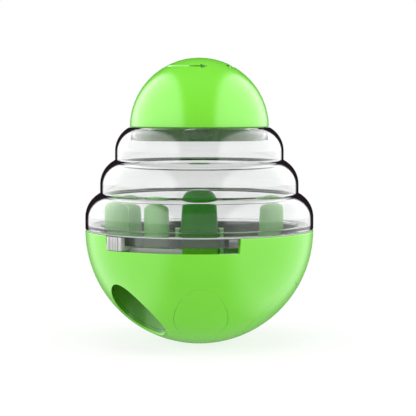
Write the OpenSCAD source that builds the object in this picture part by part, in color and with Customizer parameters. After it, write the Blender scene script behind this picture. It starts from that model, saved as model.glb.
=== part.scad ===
// Treat dispensing roly-poly for pets: a weighted round bowl, a clear stepped body and a dome cap.
// The vertical axis runs through the origin, which is the middle of the small flat that it stands on.
// Azimuths are in degrees from the front (-Y) towards the right (+X).

/* [Overall] */
// Diameter of the round bowl
ball_d = 100; // [90:1:110]
// Diameter of the flat that the ball rests on
foot_d = 9; // [6:0.5:12]

/* [Bowl] */
// Wall thickness of the bowl
bowl_wall = 2.2; // [1.8:0.1:2.6]
// Left end of the window in the rim
window_left = -51.3; // [-54:0.1:-48]
// Right end of the window in the rim
window_right = 19.6; // [18:0.1:24]
// Depth of the window below the rim
window_depth = 6.2; // [5.6:0.1:7]
// Radius of each round hole in the bowl
hole_r = 11.4; // [10:0.1:12.6]
// Distance of each hole's axis inward of the widest line of the bowl
hole_inset = 16; // [15:0.5:18]
// Azimuths of the outlet, the front plug and the right plug
hole_az = [-50, 1, 63];
// Wall of the outlet chute and width of the flange of each plug
chute_wall = 1.5; // [1:0.1:1.8]
// Thickness of the plugs
plug_t = 1.6; // [1.2:0.1:2]

/* [Weight] */
// Distance between the steel weight and the outlet chute
weight_inset = 4.1; // [3.5:0.1:6]
// Height of the top of the steel weight
weight_top = 15; // [13:0.5:17]
// Thickness of the cover over the weight
cover_t = 1.8; // [1.5:0.1:2.5]
// Radius of the bosses that the cover screws go into
boss_r = 2.6; // [2.3:0.1:3]
// Gap between the steel weight and the bosses
boss_gap = 0.4; // [0.3:0.1:1]
// Shank radius of all the screws
screw_r = 1.5; // [1.2:0.1:1.7]
// Head radius of all the screws
screw_head_r = 2.7; // [2.4:0.1:3]
// Head height of all the screws
screw_head_h = 1.8; // [1.4:0.1:2.2]
// Depth of the screw holes in the bosses
screw_len = 8; // [6:0.5:9]
// Radius of the pillar that carries the tray
pillar_r = 9; // [8:0.5:10]

/* [Tray] */
// Depth of the tray floor below the rim
tray_depth = 11.8; // [11:0.1:13]
// Thickness of the tray floor
tray_t = 2; // [1.6:0.1:2.5]
// Radius of the treat port
port_r = 7.3; // [6:0.1:8]

/* [Posts] */
// Radius of a treat post at its foot
post_r = 6; // [5.5:0.1:6.3]
// Radius of a treat post below its round top
post_tip_r = 5.4; // [5:0.1:5.5]
// Radius of the round edge at the top of a treat post
post_brow = 4.6; // [3:0.1:4.6]
// Height of the post tops above the tray floor
post_h = 26; // [20:0.5:26.5]
// Radius of the peg under each post
peg_r = 2; // [1.5:0.1:2.5]
// Azimuths of the posts by the wall: outer left, rear left, rear and right
wall_post_az = [-98, -120.7, 180, 117.9];
// Distance of each of them from the inside of the skirt
wall_post_gap = [6.6, 6.5, 7.7, 6.6];
// Azimuth of the post beside the knob
inner_post_az = -104.7; // [-110:0.1:-95]
// Distance of that post's axis from the side of the knob
inner_post_gap = 11.25; // [10.5:0.05:13]

/* [Centre knob] */
// Radius of the centre knob at its foot
knob_r = 8.4; // [7.5:0.1:9]
// Radius of the centre knob below its round top
knob_tip_r = 7.6; // [7:0.1:8]
// Height of the knob above the tray floor
knob_h = 29.4; // [25:0.1:30]
// Height of the joint between knob and column above the tray floor
knob_split_h = 9; // [8:0.5:10]
// Wall of the centre knob and its column
knob_wall = 1.8; // [1.5:0.1:2.2]
// Radius of the round edge at the top of the knob
knob_brow = 5; // [3:0.5:5.5]
// Thickness of the clips beside the knob
clip_t = 1.6; // [1.2:0.1:2]
// Width of the clips beside the knob
clip_w = 5; // [4:0.5:6]

/* [Shutter] */
// Thickness of the shutter plate
shutter_t = 1.5; // [1.2:0.1:1.8]
// Distance of the band inward of the outside of the skirt
band_inset = 0.7; // [0.6:0.1:1]
// Thickness of the upright shutter band
band_t = 1.2; // [1:0.1:1.4]
// Arc of the band from the left side of the thumb grip
band_arc = 41.5; // [38:0.5:44]
// Arc of the thumb grip
grip_arc = 10.2; // [10:0.1:13]
// Thickness of the upright part of the thumb grip
grip_block_w = 1.8; // [1.6:0.1:3.4]
// How far the shutter turns to close the port
shutter_travel = 28; // [20:1:28]
// Number of ribs on the thumb grip
grip_ribs = 5; // [3:1:7]
// Width of each rib
rib_w = 0.7; // [0.5:0.1:0.8]
// Width of the border at each side of the thumb grip
border_w = 1.4; // [1:0.1:1.6]
// Height of the ribs and borders
rib_h = 0.5; // [0.3:0.1:0.6]

/* [Clear body] */
// Wall thickness of the clear body
shell_wall = 2; // [1.6:0.1:2.4]
// Number of steps in the clear body
tiers = 3; // [3:1:3]
// How much smaller each step is than the one below
tier_step = 6.55; // [5.8:0.05:7.3]
// Height from one step to the next
tier_pitch = 14.45; // [13:0.05:16]
// Height of the first upright wall above the rim
tier_wall_h = 5.6; // [5:0.1:6.2]
// Radius of the rounded shoulders
shoulder_r = 11.8; // [11:0.1:12.6]
// Radius of the fillet in the creases
crease_r = 0.7; // [0.5:0.1:0.9]
// Thickness of the flange that closes the foot of the clear body
flange_t = 1.6; // [1.2:0.1:2]
// Depth of the skirt that enters the bowl
skirt_depth = 4.2; // [3.8:0.1:4.6]
// Distance of the skirt inward of the outside of the bowl
skirt_inset = 4.6; // [4.2:0.1:5]
// Thickness of the skirt
skirt_wall = 1.7; // [1.4:0.1:1.9]
// Arc of the stop lug in the window
stop_arc = 4.7; // [4:0.1:6]
// Thickness of the rim gasket
gasket_t = 0.6; // [0.4:0.1:0.8]

/* [Cap] */
// How much smaller the dome is than the top step
cap_inset = 6.5; // [6:0.1:7]
// How much wider the top step is than the dome at their seam
seam_lip = 0.45; // [0.4:0.05:0.6]
// Wall thickness of the dome
cap_wall = 2; // [1.6:0.1:2.4]
// Wall of the neck that the cap screws into
neck_wall = 1.5; // [1.3:0.1:1.8]
// Room for the cams between the neck and the threaded collar of the cap
cam_room = 1.6; // [1.4:0.1:1.8]
// Wall of the threaded collar
collar_wall = 2; // [1.6:0.1:2.2]
// Height of the cap seal ring
cap_seal_h = 1; // [0.8:0.1:1.2]
// Radius of the turn arrows on the dome
arrow_r = 14.8; // [13:0.1:16]
// Depth of the turn arrows
arrow_depth = 0.6; // [0.4:0.1:0.8]
// Azimuths of the tail and the head of each turn arrow
arrow_az = [[-92, 2], [165, 66]];
// Width of the line of each arrow
arrow_line_w = 1; // [0.8:0.1:1.4]
// Width of the head of each arrow
arrow_head_w = 3.4; // [2.6:0.1:4]

/* [Twist locks] */
// Rise of the cap per full turn
cap_lead = 24; // [20:1:28]
// Rise of the clear body per full turn
shell_lead = 48; // [44:1:52]
// Arc of each cap cam
cap_cam_arc = 24; // [20:1:27]
// Thickness of the cap cams
cap_cam_t = 1.2; // [1:0.1:1.4]
// Thickness of the ledges over the cap cams
cap_ledge_t = 1; // [0.8:0.1:1.2]
// Azimuths of the cap cams
cap_cam_az = [0, 120, 240];
// Arc of each body cam
shell_cam_arc = 12; // [10:1:13]
// Thickness of the body cams and of the ledges over them
shell_cam_t = 1; // [0.8:0.1:1.1]
// Depth of the middle of the body cams below the rim
shell_cam_depth = 2.45; // [2.3:0.05:2.6]
// Azimuths of the body cams
shell_cam_az = [75, 165, 255];
// Gap between a cam and the ledge above it
cam_gap = 0.35; // [0.3:0.05:0.4]

/* [Fits] */
// Gap between pieces that move past each other
move_gap = 0.3; // [0.25:0.05:0.35]
// Gap between flat faces that slide on each other
slide_gap = 0.2; // [0.15:0.05:0.25]
// Gap between pieces that are snapped together
snap_gap = 0.1; // [0.05:0.05:0.15]
// Radial gap of the shutter on its hub
hub_gap = 0.08; // [0.05:0.01:0.1]
// Gap round the weight and beside the threads
loose_gap = 0.4; // [0.3:0.05:0.5]

/* [Hidden] */
$fn = 96;
green = [0.46, 0.87, 0.27];
light_green = [0.66, 0.93, 0.52];
clear = [0.86, 0.9, 0.92, 0.35];
silicone = [0.75, 0.78, 0.8, 0.8];
steel = [0.6, 0.61, 0.63];
big = 2 * ball_d;
small = 0.01;

ball_r = ball_d / 2;
rim_z = sqrt(ball_r * ball_r - foot_d * foot_d / 4);
bowl_in_r = ball_r - bowl_wall;
liner_r = bowl_in_r - snap_gap;
window_z = rim_z - window_depth;
skirt_r = ball_r - skirt_inset;
skirt_in_r = skirt_r - skirt_wall;
skirt_z = rim_z - skirt_depth;

tray_z = rim_z - tray_depth;
tray_bottom = tray_z - tray_t;
shutter_top = tray_bottom - slide_gap;
shutter_z = shutter_top - shutter_t;
chute_top = shutter_z - slide_gap;
hole_reach = ball_r - hole_inset;
hole_top = rim_z - sqrt(pow(ball_r, 2) - pow(hole_reach + hole_r, 2));
plug_top = min(hole_top + 2, chute_top);
outlet_az = hole_az[0];

screw_az = [30, 150, -90];
weight_r = hole_reach - hole_r - chute_wall - weight_inset;
screw_circle_r = weight_r + boss_gap + boss_r;
thread_r = screw_r + snap_gap / 2;
screw_hole_r = screw_r + slide_gap;
slot_l = 3.2;
slot_w = 0.7;
slot_depth = 0.9;
cover_z = weight_top + snap_gap;
cover_top = cover_z + cover_t;
cover_r = weight_r + 1;
ear_r = screw_head_r + 0.5;
hub_r = pillar_r - 2;
hub_ring_r = hub_r + 3.5;

band_r = skirt_r - band_inset;
band_top = skirt_z - loose_gap;
tray_r = band_r - band_t - move_gap;
tray_rim_r = sqrt(pow(bowl_in_r, 2) - pow(rim_z - tray_bottom, 2)) - 0.5;
tray_rest_w = 1.7;
tray_rest_from = 40;
tray_rest_to = 250;
tray_rim_margin = 5;
rest_t = 2.5;
knob_top = tray_z + knob_h;
knob_split = tray_z + knob_split_h;
foot_ring_w = 0.5;
foot_ring_h = 2;
hook_t = 1;
socket_depth = 3;

plate_margin = 15;
grip_left = window_left + 0.6;
grip_right = grip_left + grip_arc;
band_right = grip_left + band_arc;
grip_z = window_z + move_gap;
grip_top = rim_z - move_gap;
grip_r = ball_r - move_gap;

shell_z = rim_z + gasket_t;
shoulder_z = rim_z + tier_wall_h;
stop_right = window_right - 0.7;
stop_left = stop_right - stop_arc;
stop_r = ball_r - 0.7;
body_cam_r = bowl_in_r - 0.8;
ledge_in_r = skirt_r + loose_gap;
shell_cam_z = rim_z - shell_cam_depth;
shell_ledge_z = shell_cam_z + shell_cam_t + cam_gap;

cap_r = tier_r(tiers - 1) - cap_inset;
seam_z = tier_z(tiers - 1) + sqrt(pow(shoulder_r, 2)
    - pow(cap_r + seam_lip - tier_r(tiers - 1) + shoulder_r, 2));
cap_z = seam_z + move_gap;
neck_r = cap_r - move_gap;
neck_in_r = neck_r - neck_wall;
collar_r = neck_in_r - cam_room;
collar_flange_z = cap_z + snap_gap;
collar_flange_t = 1.4;
seal_gap = 0.25;
cap_cam_rise = cap_lead * cap_cam_arc / 360;
cap_cam_r = neck_in_r - loose_gap;
cap_ledge_r = collar_r + loose_gap;
collar_z = cap_z - cap_seal_h - seal_gap - cap_cam_t - cap_ledge_t - cam_gap - cap_cam_rise;
cap_cam_z = collar_z + (cap_cam_t + cap_cam_rise) / 2;
cap_ledge_z = cap_cam_z + (cap_cam_t + cap_ledge_t) / 2 + cam_gap;

// Places its children at an azimuth, a distance from the axis and a height
module at(az, r, z = 0) {
    rotate([0, 0, az]) translate([0, -r, z]) children();
}

// Part of a ring between two azimuths
module sector(az1, az2, r1, r2, z1, z2) {
    rotate([0, 0, az1 - 90]) rotate_extrude(angle = az2 - az1)
        translate([r1, z1]) square([r2 - r1, z2 - z1]);
}

// A full ring
module ring(r1, r2, z1, z2) {
    difference() {
        translate([0, 0, z1]) cylinder(r = r2, h = z2 - z1);
        translate([0, 0, z1 - 1]) cylinder(r = r1, h = z2 - z1 + 2);
    }
}

// A sloping cam: part of a ring that climbs with the thread
module cam(az, arc, r1, r2, z, t, lead) {
    mean_r = (r1 + r2) / 2;
    span = t + abs(lead) * arc / 360;
    intersection() {
        sector(az - arc / 2, az + arc / 2, r1, r2, z - span, z + span);
        at(az, mean_r, z) rotate([0, -atan(lead / (2 * PI * mean_r)), 0])
            cube([mean_r, mean_r, t], center = true);
    }
}

// The ball's outside or inside as a sphere round its middle
module ball(r) {
    translate([0, 0, rim_z]) sphere(r = r);
}

// One upright round column through the wall of the bowl
module column(az, r, top = big) {
    at(az, hole_reach) cylinder(r = r, h = top);
}

module lower_bowl() {
    color(green) union() {
        difference() {
            intersection() {
                ball(ball_r);
                cylinder(r = ball_r + 1, h = rim_z);
            }
            ball(bowl_in_r);
            for (az = hole_az) column(az, hole_r);
            sector(window_left, window_right, skirt_r, ball_r + 1, window_z, rim_z + 1);
        }
        for (az = screw_az) bowl_boss(az);
        tray_rest();
        for (az = shell_cam_az) body_ledge(az);
    }
}

// A screw boss that stands on the inside of the bowl
module bowl_boss(az) {
    difference() {
        intersection() {
            at(az, screw_circle_r) cylinder(r = boss_r, h = cover_z);
            ball(bowl_in_r + 1);
        }
        at(az, screw_circle_r, cover_z - screw_len) cylinder(r = thread_r, h = screw_len + 1);
    }
}

// The ledge inside the bowl that the tray lies on
module tray_rest() {
    intersection() {
        sector(tray_rest_from, tray_rest_to, tray_rim_r - tray_rest_w, ball_r, tray_bottom - rest_t,
            tray_bottom);
        ball(bowl_in_r + 1);
    }
}

// A sloping ledge that holds down one cam of the clear body
module body_ledge(az) {
    intersection() {
        cam(az, shell_cam_arc, ledge_in_r, bowl_in_r + 1, shell_ledge_z, shell_cam_t, -shell_lead);
        ball(bowl_in_r + 1);
        cylinder(r = ball_r, h = rim_z);
    }
}

module outlet_chute() {
    color(green) difference() {
        intersection() {
            column(outlet_az, hole_r + chute_wall, chute_top);
            ball(liner_r);
        }
        column(outlet_az, hole_r);
    }
}

// A plug that fills a round hole flush, held by a flange inside the wall
module hole_plug(az) {
    color(green) difference() {
        union() {
            intersection() {
                column(az, hole_r - snap_gap, plug_top);
                ball(ball_r);
            }
            intersection() {
                column(az, hole_r + chute_wall, plug_top);
                ball(liner_r);
            }
        }
        ball(liner_r - plug_t);
    }
}

module front_plug() {
    hole_plug(hole_az[1]);
}

module right_plug() {
    hole_plug(hole_az[2]);
}

module ballast_weight() {
    color(steel) intersection() {
        cylinder(r = weight_r, h = weight_top);
        ball(bowl_in_r - move_gap);
    }
}

module ballast_cover() {
    color(green) difference() {
        union() {
            translate([0, 0, cover_z]) cylinder(r = cover_r, h = cover_t);
            for (az = screw_az) at(az, screw_circle_r, cover_z) cylinder(r = ear_r, h = cover_t);
            translate([0, 0, cover_z]) cylinder(r = pillar_r, h = chute_top - cover_z);
            translate([0, 0, cover_z]) cylinder(r = hub_r, h = tray_bottom - cover_z);
        }
        for (az = screw_az) at(az, screw_circle_r, cover_z - 1) cylinder(r = screw_hole_r, h = cover_t + 2);
        translate([0, 0, cover_top]) cylinder(r = thread_r, h = big);
    }
}

// A pan head screw with its head resting on z = 0
module pan_screw(len) {
    translate([0, 0, -len]) cylinder(r = screw_r, h = len + small);
    difference() {
        cylinder(r = screw_head_r, h = screw_head_h);
        for (a = [0, 90]) rotate([0, 0, a]) translate([-slot_l / 2, -slot_w / 2, screw_head_h - slot_depth])
            cube([slot_l, slot_w, slot_depth + 1]);
    }
}

module cover_screws() {
    color(steel) for (az = screw_az) at(az, screw_circle_r, cover_top)
        pan_screw(screw_len - loose_gap + cover_t);
}

module maze_tray() {
    color(green) difference() {
        union() {
            translate([0, 0, tray_bottom]) cylinder(r = tray_r, h = tray_t);
            sector(tray_rest_from + tray_rim_margin, tray_rest_to - tray_rim_margin, tray_r - 1, tray_rim_r,
                tray_bottom, tray_z);
        }
        at(outlet_az, hole_reach) cylinder(r = port_r, h = big);
        cylinder(r = screw_hole_r, h = big);
        for (i = [0 : 3]) at(wall_post_az[i], skirt_in_r - wall_post_gap[i]) cylinder(r = peg_r, h = big);
        at(inner_post_az, knob_r + inner_post_gap) cylinder(r = peg_r, h = big);
    }
}

module tray_screw() {
    color(steel) translate([0, 0, tray_z]) pan_screw(tray_z - cover_top - 4);
}

// Outline of a tapered post with a round top, from its axis outwards
module post_outline(foot_r, tip_r, brow, low, high) {
    wall_top = high - brow;
    crown_r = tip_r - brow;
    polygon([[0, low], [foot_r, low], [tip_r, wall_top], [0, wall_top]]);
    translate([0, wall_top - small]) square([crown_r, brow + small]);
    intersection() {
        translate([crown_r, wall_top]) circle(r = brow);
        translate([crown_r - small, wall_top - small]) square([brow + 1, brow + 1]);
    }
}

// A treat post with a round top and a peg that presses into the tray
module treat_post(az, reach) {
    color(light_green) at(az, reach, tray_z) {
        rotate_extrude() union() post_outline(post_r, post_tip_r, post_brow, 0, post_h);
        translate([0, 0, -tray_t]) cylinder(r = peg_r - snap_gap / 2, h = tray_t + small);
    }
}

// A treat post near the wall of the bowl
module wall_post(i) {
    treat_post(wall_post_az[i], skirt_in_r - wall_post_gap[i]);
}

module post_outer_left() {
    wall_post(0);
}

module post_rear_left() {
    wall_post(1);
}

module post_inner_left() {
    treat_post(inner_post_az, knob_r + inner_post_gap);
}

module post_rear() {
    wall_post(2);
}

module post_right() {
    wall_post(3);
}

// The hollow column round the tray screw, under the knob
module knob_column() {
    color(green) {
        ring(knob_r - knob_wall, knob_r, tray_z, knob_split);
        ring(knob_r - 2 * knob_wall, knob_r - knob_wall - snap_gap + small, knob_split - socket_depth,
            knob_split + socket_depth - 1);
        ring(knob_r - 2 * knob_wall, knob_r - knob_wall + small, knob_split - socket_depth, knob_split - 1);
    }
}

module centre_knob() {
    bore_r = knob_r - knob_wall;
    socket_top = knob_split + socket_depth;
    color(green) difference() {
        union() {
            rotate_extrude() union() post_outline(knob_r, knob_tip_r, knob_brow, knob_split, knob_top);
            translate([0, 0, knob_split]) cylinder(r = knob_r + foot_ring_w, h = foot_ring_h);
        }
        translate([0, 0, knob_split - 1]) cylinder(r = bore_r, h = socket_depth + 1);
        translate([0, 0, socket_top - small])
            cylinder(r1 = bore_r, r2 = knob_tip_r - knob_wall, h = knob_top - knob_brow - socket_top);
    }
}

// Two spring fingers on the tray that hook over the foot ring of the knob
module knob_clips() {
    finger_in = knob_r + foot_ring_w + snap_gap;
    hook_z = knob_split + foot_ring_h + snap_gap;
    color(light_green) for (a = [0, 180]) rotate([0, 0, a]) {
        translate([finger_in, -clip_w / 2, tray_z]) cube([clip_t, clip_w, hook_z + hook_t - tray_z]);
        translate([finger_in - foot_ring_w, -clip_w / 2, hook_z]) cube([clip_t, clip_w, hook_t]);
    }
}

module shutter_plate() {
    color(clear) difference() {
        union() {
            translate([0, 0, shutter_z]) cylinder(r = hub_ring_r, h = shutter_t);
            sector(outlet_az - shutter_travel - plate_margin, band_right - 1, hub_ring_r - 1, band_r - band_t / 2,
                shutter_z, shutter_top);
            sector(grip_left, band_right, band_r - band_t, band_r, shutter_z, band_top);
        }
        cylinder(r = hub_r + hub_gap, h = big);
        at(outlet_az, hole_reach) cylinder(r = port_r, h = big);
    }
}

// A rib on the thumb grip, between two azimuths
module grip_rib(az1, az2) {
    sector(az1, az2, grip_r - small, grip_r + rib_h, grip_z, grip_top);
}

module thumb_grip() {
    degree = grip_r * PI / 180;
    border = border_w / degree;
    rib_half = rib_w / degree / 2;
    rib_step = (grip_arc - 2 * border) / (grip_ribs + 1);
    color(clear) union() {
        sector(grip_left, grip_right, band_r, grip_r, grip_z, band_top);
        sector(grip_left, grip_right, grip_r - grip_block_w, grip_r, band_top - small, grip_top);
        grip_rib(grip_left, grip_left + border);
        grip_rib(grip_right - border, grip_right);
        for (i = [1 : grip_ribs]) {
            az = grip_left + border + i * rib_step;
            grip_rib(az - rib_half, az + rib_half);
        }
    }
}

module rim_gasket() {
    color(silicone) ring(bowl_in_r + loose_gap, ball_r - loose_gap, rim_z, shell_z);
}

// Radius of one step of the clear body
function tier_r(i) = ball_r - i * tier_step;

// Height where one shoulder starts to round
function tier_z(i) = shoulder_z + i * tier_pitch;

// Filled outline of the stepped body from its axis outwards, shrunk by an inset
module step_outline(inset) {
    for (i = [0 : tiers - 1]) {
        low = i == 0 ? shell_z : tier_z(i - 1);
        translate([0, low]) square([tier_r(i) - inset, tier_z(i) - low]);
        translate([0, low]) square([tier_r(i) - shoulder_r, tier_z(i) - low + shoulder_r - inset]);
        intersection() {
            translate([tier_r(i) - shoulder_r, tier_z(i)]) circle(r = shoulder_r - inset);
            translate([tier_r(i) - shoulder_r - 1, tier_z(i) - 1]) square([shoulder_r + 2, shoulder_r + 2]);
        }
    }
}

// Small fillet in the outer crease above one step
module crease_fill(i) {
    wall_r = tier_r(i + 1);
    centre = [wall_r + crease_r, tier_z(i) + sqrt(pow(shoulder_r + crease_r, 2)
        - pow(wall_r + crease_r - tier_r(i) + shoulder_r, 2))];
    arc_centre = [tier_r(i) - shoulder_r, tier_z(i)];
    touch = arc_centre + (centre - arc_centre) * shoulder_r / (shoulder_r + crease_r);
    difference() {
        polygon([[wall_r - 0.5, touch[1] - 1], touch + [0, -0.4], touch, centre, [wall_r, centre[1]],
            [wall_r - 0.5, centre[1]]]);
        translate(centre) circle(r = crease_r);
    }
}

module clear_body() {
    color(clear) union() {
        difference() {
            rotate_extrude() intersection() {
                union() {
                    step_outline(0);
                    for (i = [0 : tiers - 2]) crease_fill(i);
                }
                translate([0, shell_z]) square([ball_r + 1, seam_z - shell_z]);
            }
            rotate_extrude() step_outline(shell_wall);
            cylinder(r = neck_in_r, h = big);
        }
        ring(neck_in_r, neck_r, collar_z - snap_gap, seam_z);
        ring(skirt_in_r, ball_r - 1, shell_z, shell_z + flange_t);
        ring(skirt_in_r, skirt_r, skirt_z, shell_z + flange_t);
        sector(stop_left, stop_right, skirt_r - 0.5, stop_r, skirt_z + move_gap, rim_z - snap_gap);
        for (az = shell_cam_az) intersection() {
            cam(az, shell_cam_arc, skirt_r - 0.5, body_cam_r, shell_cam_z, shell_cam_t, -shell_lead);
            translate([0, 0, skirt_z]) cylinder(r = ball_r, h = skirt_depth + gasket_t);
        }
        for (az = cap_cam_az)
            cam(az, cap_cam_arc, cap_ledge_r, neck_in_r + 0.5, cap_ledge_z, cap_ledge_t, cap_lead);
    }
}

module cap_seal() {
    color(silicone) ring(collar_r + snap_gap, neck_in_r - 0.15, cap_z - cap_seal_h, cap_z);
}

module cap_collar() {
    color(green) union() {
        ring(collar_r - collar_wall, collar_r, collar_z, collar_flange_z + collar_flange_t);
        ring(collar_r - collar_wall, cap_r - cap_wall - slide_gap, collar_flange_z,
            collar_flange_z + collar_flange_t);
        for (az = cap_cam_az)
            cam(az, cap_cam_arc, collar_r - 0.5, cap_cam_r, cap_cam_z, cap_cam_t, cap_lead);
    }
}

// A recessed curved arrow that runs from the azimuth of its tail to its head
module turn_arrow(tail, head) {
    way = head > tail ? 1 : -1;
    head_l = arrow_head_w + 0.2;
    difference() {
        union() {
            sector(min(tail, head), max(tail, head), arrow_r - arrow_line_w / 2, arrow_r + arrow_line_w / 2,
                seam_z, seam_z + cap_r);
            at(head, arrow_r, seam_z) linear_extrude(height = cap_r)
                polygon([[0, -arrow_head_w / 2], [way * head_l, 0.6], [0, arrow_head_w / 2]]);
        }
        translate([0, 0, seam_z]) sphere(r = cap_r - arrow_depth);
    }
}

module dome_cap() {
    color(green) difference() {
        intersection() {
            translate([0, 0, seam_z]) sphere(r = cap_r);
            translate([0, 0, cap_z]) cylinder(r = cap_r + 1, h = cap_r + 1);
        }
        translate([0, 0, seam_z]) sphere(r = cap_r - cap_wall);
        for (az = arrow_az) turn_arrow(az[0], az[1]);
    }
}

lower_bowl();
outlet_chute();
front_plug();
right_plug();
ballast_weight();
ballast_cover();
cover_screws();
maze_tray();
tray_screw();
post_outer_left();
post_rear_left();
post_inner_left();
post_rear();
post_right();
knob_column();
centre_knob();
knob_clips();
shutter_plate();
thumb_grip();
rim_gasket();
clear_body();
cap_seal();
cap_collar();
dome_cap();
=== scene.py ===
"""Looks of a treat dispensing roly-poly: glossy green bowl and dome cap, clear stepped body between them."""

import math

import bmesh
import bpy
from bpy.props import FloatProperty, FloatVectorProperty, IntProperty, PointerProperty
from mathutils import Matrix, Vector


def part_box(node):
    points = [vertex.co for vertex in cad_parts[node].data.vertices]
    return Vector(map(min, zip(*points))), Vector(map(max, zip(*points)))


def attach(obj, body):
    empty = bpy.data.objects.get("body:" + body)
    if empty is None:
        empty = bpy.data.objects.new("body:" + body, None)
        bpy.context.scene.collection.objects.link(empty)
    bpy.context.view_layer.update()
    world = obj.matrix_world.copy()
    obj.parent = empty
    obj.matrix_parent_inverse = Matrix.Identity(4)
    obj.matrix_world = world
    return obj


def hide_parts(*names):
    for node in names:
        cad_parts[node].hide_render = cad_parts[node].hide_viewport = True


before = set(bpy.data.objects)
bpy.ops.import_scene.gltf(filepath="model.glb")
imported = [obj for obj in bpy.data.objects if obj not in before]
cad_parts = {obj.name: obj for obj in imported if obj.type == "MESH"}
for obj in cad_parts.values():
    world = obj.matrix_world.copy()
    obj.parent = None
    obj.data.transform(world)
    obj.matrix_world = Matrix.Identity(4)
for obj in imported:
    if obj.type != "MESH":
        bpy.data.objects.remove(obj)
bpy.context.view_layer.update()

bl_info = {
    "name": "Treat dispensing roly-poly",
    "version": (1, 0, 0),
    "blender": (4, 5, 0),
    "location": "3D View > Sidebar > Roly-poly",
    "description": "Makes the finished pieces of a treat dispensing roly-poly around its packed frame",
    "category": "Object",
}

# Lengths are in metres. SMALL is the measure of tolerances, and a radius below ON_AXIS counts as none
MM = 0.001
SMALL = 0.01 * MM
ON_AXIS = 1e-9

# How finely round pieces are divided, and the angle from which an edge is shaded sharp
ROUND_STEPS = 256
SHARP_ANGLE = math.radians(32)

# Azimuths in degrees of what comes in threes: screw bosses, cams of the clear body, cams of the cap
BOSS_AZIMUTHS = (30, 150, -90)
CAM_AZIMUTHS = (75, 165, 255)
CAP_CAM_AZIMUTHS = (0, 120, 240)

# Node, body and inner radius of each seal ring
SEAL_RINGS = (("rim_gasket", "gasket_carrier", 48.2 * MM), ("cap_seal", "seal_carrier", 27.1 * MM))

# Azimuths of the tail and head of each turn arrow on the cap
ARROWS = ((math.radians(-92), math.radians(2)), (math.radians(165), math.radians(66)))

# Mesh attributes: OUTER is 1 on the outer side of the clear body, and the inner attribute is 1 where painted
# shade goes, in the bowl and in arrow heads
OUTER, PAINTED_SHADE = "outer", "inner"

# Surfaces that a cut keeps apart, so that each can get its own normals
PLAIN, OUTSIDE, INSIDE, BORE, LIP = range(5)


def length(name, text, value):
    """A length in metres, as a setting of a PropertyGroup."""
    return FloatProperty(name=name, description=text, default=value, min=0.0, unit="LENGTH", precision=5)


def angle(name, text, degrees):
    """An angle, as a setting of a PropertyGroup. Azimuths count from the front towards the right."""
    return FloatProperty(name=name, description=text, default=math.radians(degrees), unit="ROTATION")


def colour(name, text, value):
    """A linear colour, as a setting of a PropertyGroup."""
    return FloatVectorProperty(name=name, description=text, default=value, subtype="COLOR", size=3,
                               min=0, max=1)


def number(name, text, value):
    """A share or strength, as a setting of a PropertyGroup."""
    return FloatProperty(name=name, description=text, default=value, min=0.0)


class BowlSettings(bpy.types.PropertyGroup):
    """Sizes of the round bowl and of what lies in its wall."""
    radius: length("Radius", "Outer radius of the bowl", 50 * MM)
    rim: length("Rim height", "Height of the rim and of the ball's middle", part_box("lower_bowl")[1].z)
    wall: length("Wall", "Wall thickness of the bowl", 2.2 * MM)
    rim_edge: length("Rim edge", "Radius of the rounded edges of the rim", 0.3 * MM)
    window_left: angle("Window left", "Azimuth of the left end of the window", -51.3)
    window_right: angle("Window right", "Azimuth of the right end of the window", 19.6)
    window_depth: length("Window depth", "Depth of the window below the rim", 6.2 * MM)
    window_edge: length("Window edge", "Width of the chamfer round the window", 0.25 * MM)
    hole_radius: length("Hole radius", "Radius of the outlet and of the two plugged holes", 11.4 * MM)
    hole_reach: length("Hole reach", "Distance of each hole from the axis", 34 * MM)
    outlet: angle("Outlet", "Azimuth of the open outlet", -50)
    front_hole: angle("Front hole", "Azimuth of the front plug", 1)
    right_hole: angle("Right hole", "Azimuth of the right plug", 63)
    outlet_lip: length("Outlet lip", "Width of the outlet's rounded lip towards the axis", 1 * MM)
    outlet_edge: length("Outlet edge", "Width of that lip away from the axis", 0.12 * MM)
    seam_lip: length("Seam lip", "Width of the edge beside each plug", 0.11 * MM)
    foot: length("Foot", "Radius of the flat foot", 4.5 * MM)
    boss_reach: length("Boss reach", "Distance of each screw boss from the axis", 20 * MM)
    boss_radius: length("Boss radius", "Radius of the three screw bosses", 2.6 * MM)
    thread_radius: length("Thread radius", "Radius of the screw hole in each boss", 1.05 * MM)
    thread_depth: length("Thread depth", "Depth of the screw hole in each boss", 8 * MM)
    ledge_start: angle("Ledge start", "Azimuth at which the tray ledge begins", 40)
    ledge_end: angle("Ledge end", "Azimuth at which the tray ledge ends", 250)
    ledge_inner: length("Ledge radius", "Inner radius of the tray ledge", 43.6 * MM)
    ledge_height: length("Ledge height", "Height of the tray ledge", 2.5 * MM)
    lock_inner: length("Lock radius", "Inner radius of the ledges that hold down the clear body", 45.8 * MM)
    lock_depth: length("Lock depth", "Depth of those ledges below the rim", 1.05 * MM)


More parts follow.
